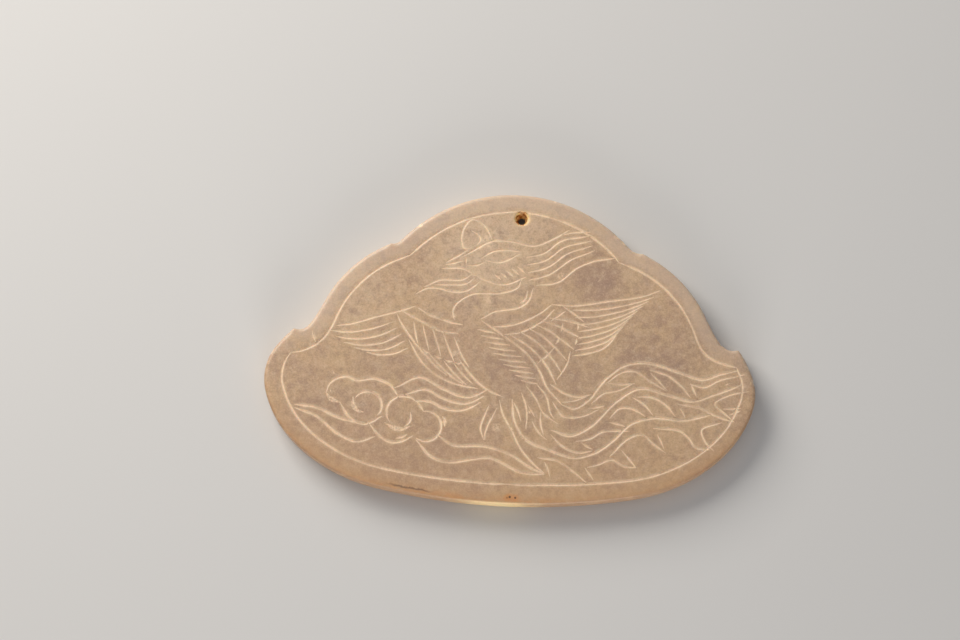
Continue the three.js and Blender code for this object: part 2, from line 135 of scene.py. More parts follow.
# Strokes spread evenly between two guide strokes, or bent through a third one halfway.
def fan(count, first, last, middle=None):
    a, c = np.array(first, float), np.array(last, float)
    b = (a + c) / 2 if middle is None else np.array(middle, float)
    strokes = []
    for t in np.linspace(0, 1, count):
        guides = 2 * (t - 0.5) * (t - 1) * a + 4 * t * (1 - t) * b + 2 * t * (t - 0.5) * c
        strokes.append(through(*guides))
    return strokes


# A curl whose radius grows evenly while it turns.
def curl(centre, fromRadius, toRadius, start, end):
    turn = np.radians(np.linspace(start, end, 41))
    radius = np.linspace(fromRadius, toRadius, 41)
    return np.array(centre, float) + np.stack([radius * np.cos(turn), radius * np.sin(turn)], -1)


# The upper of the two points where circles cross.
def crossing(a, b):
    start, end = np.array(a["centre"], float), np.array(b["centre"], float)
    apart = np.linalg.norm(end - start)
    along = (apart**2 + a["radius"] ** 2 - b["radius"] ** 2) / (2 * apart)
    off = math.sqrt(max(a["radius"] ** 2 - along**2, 0))
    unit = (end - start) / apart
    foot = start + unit * along
    ends = [foot + np.array([-unit[1], unit[0]]) * off, foot + np.array([unit[1], -unit[0]]) * off]
    return max(ends, key=lambda point: point[1])


def angleOn(circle, point):
    return math.degrees(math.atan2(point[1] - circle["centre"][1], point[0] - circle["centre"][0]))


# The edge from the top down to the horn, as the stretches between its corners.
def upperEdge(side):
    upper, horn = side["upper"], np.array(side["horn"], float)
    notch = onCircle(topLobe, turns["topLeaves"])
    shoulder = onCircle(upper, turns["shoulderStarts"])
    waist = onCircle(upper, turns["upperLeaves"])
    notchHandle = notch + downCircle(turns["topLeaves"]) * 1.5
    waistHandle = waist + downCircle(turns["upperLeaves"]) * 5.7
    return [
        arc(topLobe, 90, turns["topLeaves"]),
        bezier(notch, notchHandle, shoulder + np.array([-1.5, 0.05]), shoulder),
        arc(upper, turns["shoulderStarts"], turns["upperLeaves"]),
        bezier(waist, waistHandle, horn + np.array([-2.1, -0.4]), horn),
    ]


# The edge from the horn round the lower lobe to the middle of the bottom.
def lowerEdge(side):
    lower, horn = side["lower"], np.array(side["horn"], float)
    lobe = onCircle(lower, turns["lowerStarts"])
    leaves = onCircle(lower, turns["lowerLeaves"])
    bottom = onCircle(bottomEdge, turns["bottomStarts"])
    lobeHandle = lobe - downCircle(turns["lowerStarts"]) * 1.9
    leavesHandle = leaves + downCircle(turns["lowerLeaves"]) * 8.8
    return [
        bezier(horn, horn + np.array([1.1, -1]), lobeHandle, lobe),
        arc(lower, turns["lowerStarts"], turns["lowerLeaves"]),
        bezier(leaves, leavesHandle, bottom + np.array([8.8, 1.7]), bottom),
        arc(bottomEdge, turns["bottomStarts"], -90),
    ]


def mirrored(points, side):
    return np.array(points, float) * np.array([side["mirror"], 1])


def withoutRepeats(points):
    steps = np.linalg.norm(np.diff(points, axis=0), axis=1)
    return points[np.concatenate([[True], steps > 1e-4])]


# Points spaced evenly along a curve, and how far along it each one is.
def evenly(points, spacing):
    run = np.concatenate([[0], np.cumsum(np.linalg.norm(np.diff(points, axis=0), axis=1))])
    count = max(2, round(run[-1] / spacing) + 1)
    along = np.linspace(0, run[-1], count)
    return np.stack([np.interp(along, run, points[:, k]) for k in (0, 1)], -1), along


# The whole edge, anticlockwise, with its corners kept.
def outline(spacing):
    right = [withoutRepeats(run) * stretch for run in upperEdge(rightSide) + lowerEdge(rightSide)]
    left = [
        withoutRepeats(mirrored(run, leftSide)) * stretch
        for run in upperEdge(leftSide) + lowerEdge(leftSide)
    ]
    clockwise = right + [run[::-1] for run in reversed(left)]
    return np.vstack([evenly(run, spacing)[0][:-1] for run in clockwise])[::-1]


# Moves an edge inwards by an inset that grows along it, leaving out its first steps.
def insetEdge(points, firstInset, lastInset, skipped=14):
    moved = []
    for i in range(skipped, len(points)):
        before, after = points[i - 1], points[min(i + 1, len(points) - 1)]
        run = (after - before) / np.linalg.norm(after - before)
        share = min(1, (i - skipped) / (0.8 * len(points)))
        inset = firstInset + (lastInset - firstInset) * share
        moved.append(points[i] + np.array([run[1], -run[0]]) * inset)
    return np.array(moved)


# The border: each lobe's edge moved inwards, meeting its neighbours in inward cusps.
def borderSide(side, inset=3):
    top = {**topLobe, "radius": topLobe["radius"] - inset}
    upper = {**side["upper"], "radius": side["upper"]["radius"] - inset}
    cusp = crossing(top, upper)
    leaves = 20
    bend = onCircle(upper, leaves)
    lower = insetEdge(withoutRepeats(np.vstack(lowerEdge(side))), side["lobeInset"], 1.17 * inset)
    hook = lower[0]
    hookHandle = hook + np.array([-4, 0.7])
    along = arc(upper, angleOn(upper, cusp), leaves)
    intoHook = bezier(bend, bend + downCircle(leaves) * 3.6, hookHandle, hook)
    return [
        mirrored(arc(top, 90, angleOn(top, cusp)), side),
        mirrored(np.vstack([along, intoHook]), side),
        mirrored(lower, side),
    ]


head = [
    through([-7.6, 17.3], [-9, 17.3], [-9.6, 18.9], [-9.1, 21], [-7.8, 22.4], [-5.8, 21.4], [-4.2, 19]),
    through([-7.8, 20.3], [-6.9, 19.8], [-6.2, 18.8], [-6.8, 17.9]),
    through([-11.9, 14.6], [-10.3, 15.7], [-8.3, 16.9]),
    through([-12, 14.2], [-10.6, 14.6], [-9, 15]),
    through([-9.2, 15.7], [-7.4, 16.9], [-4.2, 18.7], [-1, 18.8], [3, 18.2], [6.2, 19.5], [9.1, 21.2]),
    through([-8.6, 15.6], [-8.5, 14.4]),
    through([-12.7, 13.5], [-9.2, 13.7], [-5.6, 12], [-2, 11.2], [1.9, 12.6]),
    through([-6, 15.5], [-4.2, 16.8], [-1.8, 17.25], [0.9, 17]),
    through([-5.2, 15.2], [-2.6, 15.1], [0.7, 16.6]),
    through([-8.3, 14.2], [-6.6, 14.4], [-5.2, 15]),
    *fan(5, [[-3.4, 12.8], [-2.4, 12]], [[0.4, 14.4], [1.8, 13.3]]),
]

crest = [
    through([8.1, 20.3], [9.6, 20.8], [12.8, 21]),
    *fan(
        4,
        [[1.9, 16.1], [5, 17.1], [7.8, 19.3], [12.6, 20.3]],
        [[2.5, 12.1], [6.2, 13.5], [9.6, 16.1], [13.6, 17.8]],
    ),
    through([3.8, 11.3], [7.6, 12.1], [10.6, 14.6], [13.6, 16], [17.2, 16.6]),
]

beard = [
    through([-7.4, 12.7], [-9.2, 11.7], [-13, 11.5], [-15.6, 10.1]),
    through([-6.8, 12.2], [-8.6, 11], [-11, 10.8], [-13.6, 10.6]),
    through([-5.9, 11.6], [-8.2, 9.9], [-10.4, 9.55], [-13.6, 10.1], [-15.4, 9.9], [-17, 8.8]),
]

neck = [
    through([1.2, 12], [0.6, 10.8], [-2.3, 9.7], [-7.2, 9.3], [-10, 7.4], [-10.5, 6.1], [-10.1, 4.6]),
    through([3.3, 10.8], [2.5, 8.6], [0.9, 7.3], [-3.3, 6.4], [-5.6, 4.9]),
    through([2.4, 10.3], [1.9, 8.8], [1.1, 8]),
]

leftWing = [
    through([-30.4, 2.7], [-27.6, 3.3], [-24, 4.5], [-20, 5.7], [-17, 6.7]),
    through([-16.4, 6.4], [-14.6, 5.4], [-10.8, 4.2], [-8.6, 3.8]),
    through([-19.5, 5.9], [-15.8, 4.1], [-12.5, 2.65], [-9.3, 2.3]),
    through([-20.1, 5.3], [-19.4, 3.8], [-17.6, 1.3], [-15.2, -1.4], [-12.85, -3.75], [-10.9, -5.1]),
    through([-17.8, 0.8], [-15.9, -2.4], [-13.6, -4.6], [-10.4, -6.2], [-5.5, -7.2]),
    through([-8.9, -2.3], [-7.1, -4.6], [-4.4, -7], [-1.2, -8.4]),
    *fan(
        5,
        [[-31.4, 1.8], [-28, 1.8], [-24.5, 2.5], [-21, 3.7]],
        [[-25, -1.7], [-23, -1.95], [-20.5, -1.7], [-18, -0.7]],
        [[-29, -0.15], [-26, -0.4], [-22.7, 0.05], [-19.2, 1.7]],
    ),
    *fan(
        4,
        [[-15.3, -0.75], [-14.75, -1.2], [-14.15, -1.35]],
        [[-9.7, -2.8], [-9.1, -2.95], [-8.5, -2.8]],
        [[-12.3, -2.1], [-11.7, -2.4], [-11, -2.45]],
    ),
    *fan(
        5,
        [[-17.1, 4.05], [-16.9, 2.55], [-16.55, 1.2], [-16.2, 0.2]],
        [[-10, 1.6], [-9.3, -0.1], [-8.35, -2], [-7.2, -3.5]],
        [[-13.75, 2.9], [-13.3, 1.35], [-12.7, -0.25], [-12.15, -1.8]],
    ),
    *fan(
        3,
        [[-14.2, -1.4], [-12.5, -3.3], [-10.4, -5.1], [-8.1, -6.5]],
        [[-9.8, -3], [-9.1, -3.9], [-8, -5.05], [-6.5, -6.35]],
        [[-11.6, -2.6], [-10.6, -3.8], [-9.2, -5.25], [-7.5, -6.6]],
    ),
]

rightWing = [
    through([-3.5, 3.65], [0.5, 4.4], [3.5, 5.8], [6.7, 8.05]),
    through([6.7, 8.05], [10.8, 8.1], [16.5, 9.1], [21.8, 10.1], [25.3, 11.3]),
    through([-1.4, 2.4], [1.8, 3.2], [4.8, 4.9], [7.1, 7.2]),
    through([9.1, 7], [8, 6.3], [6.7, 5.2]),
    through([8.5, 7.9], [10.2, 6.8], [12.3, 5.3]),
    through([-5.4, 4.7], [-1, 1.9], [2.5, -0.6], [4.9, -3.6], [6.4, -6.5], [9.2, -9.4]),
    through([10.2, 0], [9.7, -2], [8.1, -5]),
    *fan(2, [[8.7, 4.9], [8.4, 3.3]], [[8.2, 2.3], [7.6, 1.2]]),
    *fan(2, [[11.3, 4.8], [11.3, 3.8]], [[11.2, 2.3], [11, 1.2]]),
    through([7.4, 0.5], [6.2, -0.8], [4.6, -2.3]),
    *fan(
        6,
        [[6.2, 5.7], [8.7, 5.5], [11, 5], [13.2, 4.35]],
        [[-0.3, 2.4], [3, 0.5], [5.9, -2.4], [8, -5.9]],
        [[3.6, 4], [5.8, 2.95], [8.1, 1.15], [10.2, -0.6]],
    ),
    *fan(
        8,
        [[10.3, 7.25], [15, 7.6], [19.5, 8.6], [24.2, 10.1]],
        [[10.6, -0.75], [13.5, -0.05], [16, 1], [18.3, 3.6]],
        [[11.5, 2.95], [14.5, 3.75], [17.6, 4.9], [21.2, 7.2]],
    ),
]

breast = fan(
    10,
    [[-6, 3.15], [-2.8, 2.6]],
    [[1.9, -5.4], [4.8, -5.9]],
    [[-2.6, -1.4], [2.2, -1.75]],
)

scarf = fan(
    3,
    [[-19.9, -7.7], [-15.8, -5.6], [-11.5, -7.5], [-7.5, -8.7], [-3.9, -7.4]],
    [[-16, -9.8], [-13.8, -9.75], [-11.2, -10.85], [-8.2, -11], [-4.9, -9.5]],
)

legAndTailRoot = [
    through([-3.4, -9.9], [-4.3, -12], [-4.8, -14], [-4.1, -16]),
    through([-2.1, -10.5], [-3.4, -13], [-3.95, -14.8], [-3.9, -16]),
    through([-1.7, -9], [-1.1, -11.3], [0.6, -14.2], [2.3, -17.3], [4.6, -19.8], [6.6, -21.3]),
    through([0.8, -9.3], [1.5, -10.7], [2.2, -12.5]),
    through([2.1, -7.6], [3, -10.4], [3.1, -13.8]),
    through([3.3, -9.7], [3.8, -10.6], [4.5, -11.6]),
    through([4.1, -12.4], [5, -14], [6.7, -15.5]),
    through([2.8, -6.3], [4.6, -8.6], [5.8, -10.8], [8.6, -12.7]),
    through([5.5, -10.6], [5.5, -12.6], [6.2, -14.8]),
    through([4.7, -6], [6.4, -8.2], [7, -10.5], [7.9, -11.9]),
]

clouds = [
    through(
        [-19.2, -9.2], [-20.6, -7.3], [-23.6, -6.2], [-26.4, -6.6], [-28.6, -6], [-31, -7.1], [-31.7, -9]
    ),
    through([-29.2, -10.6], [-27.9, -12.7], [-26.6, -13.7], [-25, -14.1], [-23.4, -13.6], [-21.9, -12.7]),
    curl([-24.45, -10.9], 2.45, 2.45, 150, -42),
    curl([-18.5, -12], 3.2, 2.5, 40, 220),
    curl([-19, -12.4], 2.1, 2.2, 15, -60),
    through([-16, -9.8], [-15.3, -10.7], [-14.7, -11.5]),
    curl([-14.2, -14], 2.5, 2.7, 100, -125),
    through([-23.9, -14.1], [-22.3, -16], [-20, -17.1], [-18, -16.7], [-16.4, -15.9]),
    through([-19.2, -16.4], [-18.3, -16.1], [-17.4, -15.7]),
    through([-37.1, -11.3], [-33.4, -11.6], [-29.2, -13.3], [-24.6, -14]),
    through([-36.9, -11.9], [-33.3, -13.1], [-29.6, -15.9], [-26.3, -17.2], [-22.9, -16.3]),
    through([-12, -15.6], [-9.4, -17.1], [-4, -17.1], [0.4, -18.3], [4, -20.4], [6.6, -21.5]),
    through([-15.8, -16.5], [-13.1, -19.3], [-10, -20.1], [-3, -19.1], [2.4, -21.3], [6.6, -21.5]),
    *fan(2, [[-11.4, -12.3], [-10.7, -13.3]], [[-11.2, -13], [-10.9, -14]]),
]

# The broad, rough crescents inside the cloud heads.
cloudShading = [
    through([-31.7, -9], [-30.9, -10], [-29.2, -10.6]),
    through([-27, -9.6], [-26.9, -11], [-26.1, -11.9], [-25.1, -12.1]),
    through([-17, -14.2], [-18.4, -14.8], [-19.8, -14.6], [-21.3, -13.8]),
]

# Three long plumes, each with the barbs that leave it.
tailPlumes = [
    through(
        [9.2, -9.4], [11.2, -9.85], [13.6, -8.3], [16.3, -4.7], [19.5, -2.1],
        [23.5, -1.4], [29, -2.8], [33.2, -3.85], [36.4, -2.7], [39.1, -2.1],
    ),
    through(
        [7.4, -13.8], [10.8, -14.6], [14.3, -12.8], [18.5, -8.3], [22.5, -5.9],
        [27.5, -6.9], [31.5, -7.7], [35.5, -6.3], [40, -4.5],
    ),
    through(
        [0.5, -8.8], [0.9, -12.3], [3, -15.6], [7, -17.2], [11.5, -18.4], [15.5, -17.2],
        [18.4, -14.9], [21.2, -12.1], [25, -10.9], [30, -11.05], [34.7, -10],
    ),
]

plumeBarbs = [
    through([7, -5.9], [9.6, -7.4], [12, -7.8], [14.2, -7.3]),
    through([9.2, -8.9], [11.4, -8.4], [13.3, -7.8]),
    through([7.5, -8.9], [9.2, -11.2], [12, -11.3], [15.5, -9.9]),
    through([13.7, -9.7], [15, -9.5], [16.5, -9.2]),
    through([14.2, -8.9], [16.2, -7], [18.6, -6.4], [21, -5.3]),
    through([17, -5.2], [18.8, -5.35], [21.5, -5.1]),
    through([16.9, -5.1], [18.8, -3.4], [21.3, -2.9], [24, -4.5], [27, -6.1]),
    through([24.2, -3.1], [25.6, -4.5], [27.2, -6]),
    through([24, -2.6], [27.2, -3.5], [29.6, -5.3], [31.3, -7.1]),
    through([31.2, -4.6], [31.7, -5.8], [32.4, -7]),
    through([31.2, -4.8], [33.6, -5.15], [36.2, -3.8], [40.4, -2.7]),
    through([17.5, -11.3], [19, -9.5], [21.3, -9.5], [23.6, -10.7]),
    through([17.4, -12], [18.7, -12.2], [20.2, -12.6]),
    through([22.1, -7.4], [24.4, -7.3], [27, -8.6], [28.8, -10.5]),
    through([21.3, -7.5], [23.4, -8.8], [24.9, -10.4]),
    through([29, -8.3], [32.8, -8.8], [35.6, -10.05], [38.8, -11]),
    through([29.5, -9], [30, -9.8], [30.5, -10.6]),
    through([41.2, -5.6], [38, -6.3], [35.4, -8], [37.2, -9.6], [39, -11]),
    *fan(2, [[37, -8.8], [40, -8.6]], [[38.1, -9.8], [40, -9]]),
    through([7.4, -14.6], [9.6, -16.6], [12.2, -17.5], [14.7, -17.1]),
    through([12.8, -15.8], [13.8, -16.4], [14.7, -16.8]),
    through([11.8, -15.6], [14.3, -14.9], [16.4, -13.65], [21, -13.4]),
    through([17.7, -18], [20.6, -14.8], [23, -13.9], [25.2, -15.5], [27.4, -16.9]),
    through([25.8, -13.8], [26.4, -14.9], [27.1, -16.3]),
    through([25.1, -12.7], [29.4, -12.9], [31.2, -14.2], [32.4, -15.7], [35, -16]),
    through([36.8, -11.2], [33.4, -12.5], [34, -14.6], [35.7, -16.2]),
    through([14, -20], [16, -19.3], [18, -18.45], [20.2, -19.5], [22.4, -19.7]),
    through([19.8, -16.8], [21.2, -18.4], [22.4, -19.7]),
    through([13.6, -20.1], [14.2, -21], [15.1, -22.1]),
    through([5.3, -18.7], [8.8, -19.1], [11.6, -20.9], [13.9, -22.6]),
    through([6.6, -19.4], [7.1, -20.6], [7.6, -21.9]),
]

# Slips of the tool beside the drawing.
strayMarks = [
    through([37.1, -4.7], [37.9, -4.3]),
    through([-30.7, -5.2], [-30.3, -5.8]),
    through([-31, -8.4], [-30.8, -9]),
    through([-34.6, 1.6], [-34.4, 0.6], [-33.8, -0.4]),
    through([3.4, -10.6], [3.7, -11]),
    through([0.5, -13.6], [0.8, -14]),
    through([2.4, -15.1], [2.8, -15.5]),
]

# Widths in mm: the full width of each kind of stroke, and what varies along it.
engraving = {
    "border": 0.48,
    "fine": 0.43,
    "bold": 0.54,
    "crescent": 0.9,
    "tick": 0.26,
    "depth": 0.15,
    "crescentDepth": 0.1,
    "taper": 1.9,
    "leastShare": 0.24,
    "stations": 0.27,
    "rails": (0, -1, 1, -0.52, 0.52, -1.5, 1.5, -2.6, 2.6),
    "leastGap": 0.062,
    "chatter": 0.7,
    "unevenness": 0.05,
    "seed": 3.7,
}


def families():
    borders = borderSide(rightSide) + borderSide(leftSide)
    fine = head + crest + beard + neck + leftWing + rightWing + breast + legAndTailRoot + plumeBarbs
    return [
        (borders, engraving["border"]),
        (scarf + clouds + tailPlumes, engraving["bold"]),
        (fine, engraving["fine"]),
        (strayMarks, engraving["tick"]),
    ]


# Every stroke as evenly spaced points with the groove's half width at each.
def strokePaths(kinds):
    paths = []
    for strokes, width in kinds:
        for stroke in strokes:
            points, along = evenly(withoutRepeats(stroke * stretch), engraving["stations"])
            fromEnd = np.minimum(along, along[-1] - along)
            taper = min(engraving["taper"], 0.45 * along[-1])
            share = engraving["leastShare"] + (1 - engraving["leastShare"]) * np.minimum(1, fromEnd / taper)
            paths.append((points, 0.5 * width * share))
    return paths


linePaths = strokePaths(families())
crescentPaths = strokePaths([(cloudShading, engraving["crescent"])])
paths = linePaths + crescentPaths
print("strokes:", len(paths), "points:", sum(len(points) for points, _ in paths))


# Drops the candidates that stand closer than a gap to a point that is kept already.
def spread(kept, candidates, gap):
    cells = {}
    for x, y in kept:
        cells.setdefault((int(x // gap), int(y // gap)), []).append((x, y))
    chosen = list(kept)
    for x, y in candidates:
        column, row = int(x // gap), int(y // gap)
        crowded = any(
            (x - a) ** 2 + (y - b) ** 2 < gap * gap
            for i in (column - 1, column, column + 1)
            for j in (row - 1, row, row + 1)
            for a, b in cells.get((i, j), ())
        )
        if not crowded:
            cells.setdefault((column, row), []).append((x, y))
            chosen.append((x, y))
    return chosen


# How far each point is from a closed polygon.
def distanceTo(polygon, points):
    start = polygon
    run = np.roll(polygon, -1, axis=0) - polygon
    size = (run**2).sum(1)
    found = []
    for part in np.array_split(points, max(1, len(points) // 2000)):
        toPoint = part[:, None] - start[None]
        share = np.clip((toPoint * run).sum(2) / size, 0, 1)
        found.append(np.sqrt(((toPoint - share[..., None] * run) ** 2).sum(2).min(1)))
    return np.concatenate(found)


def inside(polygon, points):
    x, y = points[:, 0], points[:, 1]
    odd = np.zeros(len(points), bool)
    for (ax, ay), (bx, by) in zip(polygon, np.roll(polygon, -1, axis=0)):
        spans = (ay > y) != (by > y)
        if spans.any():
            odd ^= spans & (x < (bx - ax) * (y - ay) / (by - ay + 1e-30) + ax)
    return odd


hole = {
    "centre": np.array([0.8, plaque["height"] / 2 - 4.1]),
    "mouth": 2.3,
    "waist": 1.1,
    "waistDrop": 0.3,
    "lip": 0.14,
    "sides": 56,
    "levels": 18,
    "scoring": 0.02,
}
horns = np.array(
    [mirrored(side["horn"], side) for side in (rightSide, leftSide)]
    + [mirrored(onCircle(side["upper"], turns["shoulderStarts"]), side) for side in (rightSide, leftSide)]
) * stretch
edge = outline(plaque["outlineSpacing"])
holeTurns = np.linspace(0, 360, hole["sides"], endpoint=False)
holeRing = onCircle({"centre": hole["centre"], "radius": hole["mouth"] / 2 + hole["lip"]}, holeTurns)


def roundingAt(points):
    nearest = np.sqrt(((points[:, None] - horns[None]) ** 2).sum(2)).min(1)
    return np.minimum(plaque["edgeRounding"], 0.12 + 0.45 * nearest)


# How far a point of the flat face is let down by the rounded rim and the lip of the hole.
def rimDrop(points, fromEdge):
    radius = roundingAt(points)
    short = np.where(fromEdge < 1e-3, radius, np.clip(radius - fromEdge, 0, None))
    drop = radius - np.sqrt(radius**2 - short**2)
    fromHole = np.linalg.norm(points - hole["centre"], axis=1) - hole["mouth"] / 2 - hole["lip"]
    near = np.clip(1 - fromHole / (2 * hole["lip"]), 0, 1)
    return drop + 0.5 * hole["lip"] * near**2


def facePoints(spacing, withStrokes):
    fromRim = []
    inward = np.roll(edge, -1, axis=0) - np.roll(edge, 1, axis=0)
    inward = np.stack([-inward[:, 1], inward[:, 0]], -1) / np.linalg.norm(inward, axis=1)[:, None]
    for inset in plaque["rimInsets"]:
        ring = edge + inward * inset
        ring = ring[inside(edge, ring)]
        fromRim.append(ring[distanceTo(edge, ring) > 0.92 * inset])
    for reach in (0.12, 0.3):
        circle = {"centre": hole["centre"], "radius": hole["mouth"] / 2 + hole["lip"] + reach}
        fromRim.append(onCircle(circle, holeTurns[::2]))
    near = np.vstack(fromRim)
    strokes = np.zeros((0, 2))
    if withStrokes:
        rails = []
        for rail in engraving["rails"]:
            for points, half in paths:
                run = np.gradient(points, axis=0)
                side = np.stack([-run[:, 1], run[:, 0]], -1) / np.linalg.norm(run, axis=1)[:, None]
                rails.append(points + side * (rail * half)[:, None])
        for points, half in paths:
            for end in (0, -1):
                cap = {"centre": points[end], "radius": 1.3 * half[end] + 0.07}
                rails.append(onCircle(cap, np.arange(0, 360, 45)))
        strokes = np.vstack(rails)
    random = np.random.default_rng(plaque["seed"])
    columns = np.arange(-plaque["width"] / 2, plaque["width"] / 2, spacing)
    rows = np.arange(-plaque["height"] / 2, plaque["height"] / 2, spacing * 0.87)
    grid = np.array([(x + spacing * 0.5 * (j % 2), y) for j, y in enumerate(rows) for x in columns])
    grid = grid + random.uniform(-0.18, 0.18, grid.shape) * spacing
    kept = spread(spread([], near, 0.03), strokes, engraving["leastGap"])
    kept = np.array(spread(kept, grid, 0.62 * spacing))
    fromHole = np.linalg.norm(kept - hole["centre"], axis=1)
    kept = kept[(fromHole > hole["mouth"] / 2 + hole["lip"] + 0.05) & inside(edge, kept)]
    return kept[distanceTo(edge, kept) > 0.04]


# A flat face as triangles, with the edge and the hole's mouth as its borders.
def faceMesh(spacing, withStrokes):
    points = np.vstack([edge, holeRing, facePoints(spacing, withStrokes)])
    count = len(edge)
    borders = [(i, (i + 1) % count) for i in range(count)]
    borders += [(count + i, count + (i + 1) % len(holeRing)) for i in range(len(holeRing))]
    made = delaunay_2d_cdt([Vector(point) for point in points.tolist()], borders, [], 1, 1e-6)
    flat = np.array([point[:] for point in made[0]])
    faces = np.array([face[:] for face in made[2]])
    middle = flat[faces].mean(1)
    outside = np.linalg.norm(middle - hole["centre"], axis=1) > hole["mouth"] / 2 + hole["lip"]
    return flat, faces[outside]


def stackRings(rings):
    count = len(rings[0])
    faces = []
    for level in range(len(rings) - 1):
        for i in range(count):
            a, b = level * count + i, level * count + (i + 1) % count
            faces.append((a, b, b + count, a + count))
    return np.vstack(rings), faces


# Where the rim is nicked: place along the edge in mm, how high, and the size of the bite.
nicks = [
    (17.6, 20.6, 4.7, 0.75),
    (18.8, 19.4, 4.9, 0.55),
    (20.2, 18.5, 4.6, 0.7),
    (35.6, 4.6, 4.8, 0.6),
    (36.4, 2.8, 4.6, 0.7),
    (41.2, -1.2, 4.8, 0.6),
    (42.2, -3.9, 4.6, 0.75),
    (-34.9, 4.1, 4.9, 0.5),
    (-41.6, -2.2, 4.8, 0.55),
    (-16.8, 20.9, 4.9, 0.5),
    (6.5, 26.3, 5, 0.5),
]


# Pushes the points that lie in a nick out to its hollow.
def nicked(points):
    ring = np.asarray(edge)
    for x, y, z, size in nicks:
        nearest = ring[((ring - [x, y]) ** 2).sum(1).argmin()]
        outward = nearest - np.array([0, -4])
        outward = outward / np.linalg.norm(outward)
        centre = np.array([*(nearest + outward * 0.55 * size), z + 0.3 * size])
        offset = points - centre
        reach = np.linalg.norm(offset, axis=1)
        bitten = reach < size
        points[bitten] = centre + offset[bitten] / reach[bitten, None] * size
    return points


def buildPlaque():
    thickness = plaque["thickness"]
    flat, triangles = faceMesh(plaque["faceSpacing"], True)
    fromEdge = distanceTo(edge, flat)
    front = np.column_stack([flat, thickness - rimDrop(flat, fromEdge)])
    backFlat, backTriangles = faceMesh(plaque["backSpacing"], False)
    back = np.column_stack([backFlat, rimDrop(backFlat, distanceTo(edge, backFlat))])
    radius = roundingAt(edge)
    wall = [
        np.column_stack([edge, radius + (thickness - 2 * radius) * level])
        for level in np.linspace(0, 1, plaque["wallLevels"])
    ]
    wallPoints, wallFaces = stackRings(wall)
    rings = []
    for level in np.linspace(0, 1, hole["levels"]):
        waisted = abs(2 * level - 1)
        radiusHere = hole["waist"] / 2 + (hole["mouth"] - hole["waist"]) / 2 * waisted
        radiusHere += hole["scoring"] * math.sin(31 * level) * (level not in (0, 1))
        radiusHere += hole["lip"] * (level in (0, 1))
        z = 0.5 * hole["lip"] + (thickness - hole["lip"]) * level
        drop = hole["waistDrop"] * (1 - waisted)
        circle = {"centre": hole["centre"] - np.array([0, drop]), "radius": radiusHere}
        rings.append(np.column_stack([onCircle(circle, holeTurns), np.full(hole["sides"], z)]))
    borePoints, boreFaces = stackRings(rings)
    parts = [
        (front, triangles),
        (back, backTriangles[:, ::-1]),
        (wallPoints, wallFaces),
        (borePoints, [face[::-1] for face in boreFaces]),
    ]
    points, faces, start = [], [], 0
    for partPoints, partFaces in parts:
        points.append(partPoints)
        faces += [tuple(int(i) + start for i in face) for face in partFaces]
        start += len(partPoints)
    onFace = np.zeros(start)
    onFace[: len(flat)] = np.clip((fromEdge - 0.05) / 0.7, 0, 1)
    fromHole = np.linalg.norm(flat - hole["centre"], axis=1) - hole["mouth"] / 2 - hole["lip"]
    onFace[: len(flat)] *= np.clip(fromHole / 0.12, 0, 1)
    everything = np.vstack(points)
    fromRim = np.concatenate([fromEdge, distanceTo(edge, everything[len(flat) :, :2])])
    mesh = bpy.data.meshes.new("jadePlaque")
    mesh.from_pydata((nicked(everything) * mm).tolist(), [], faces)
    for name, values in (("onFace", onFace), ("fromRim", fromRim)):
        mesh.attributes.new(name, "FLOAT", "POINT").data.foreach_set("value", values)
    sew = bmesh.new()
    sew.from_mesh(mesh)
    bmesh.ops.remove_doubles(sew, verts=sew.verts, dist=2e-7)
    openSeams = [seam for seam in sew.edges if len(seam.link_faces) != 2]
    print("open edges:", len(openSeams), "triangles:", sum(len(face.verts) - 2 for face in sew.faces))
    sew.to_mesh(mesh)
    sew.free()
    mesh.shade_smooth()
    plaqueObject = bpy.data.objects.new("carvedPlaque", mesh)
    bpy.context.scene.collection.objects.link(plaqueObject)
    return plaqueObject


# The strokes as one object of edges that carries each point's half width, in metres.
def buildGuides(name, guidePaths):
    points, edges, halves = [], [], []
    for path, half in guidePaths:
        start = len(points)
        points += [(x * mm, y * mm, 0) for x, y in path.tolist()]
        halves += (half * mm).tolist()
        edges += [(start + i, start + i + 1) for i in range(len(path) - 1)]
    mesh = bpy.data.meshes.new(name)
    mesh.from_pydata(points, edges, [])
    mesh.attributes.new("halfWidth", "FLOAT", "POINT").data.foreach_set("value", halves)
    guides = bpy.data.objects.new(name, mesh)
    bpy.context.scene.collection.objects.link(guides)
    return guides


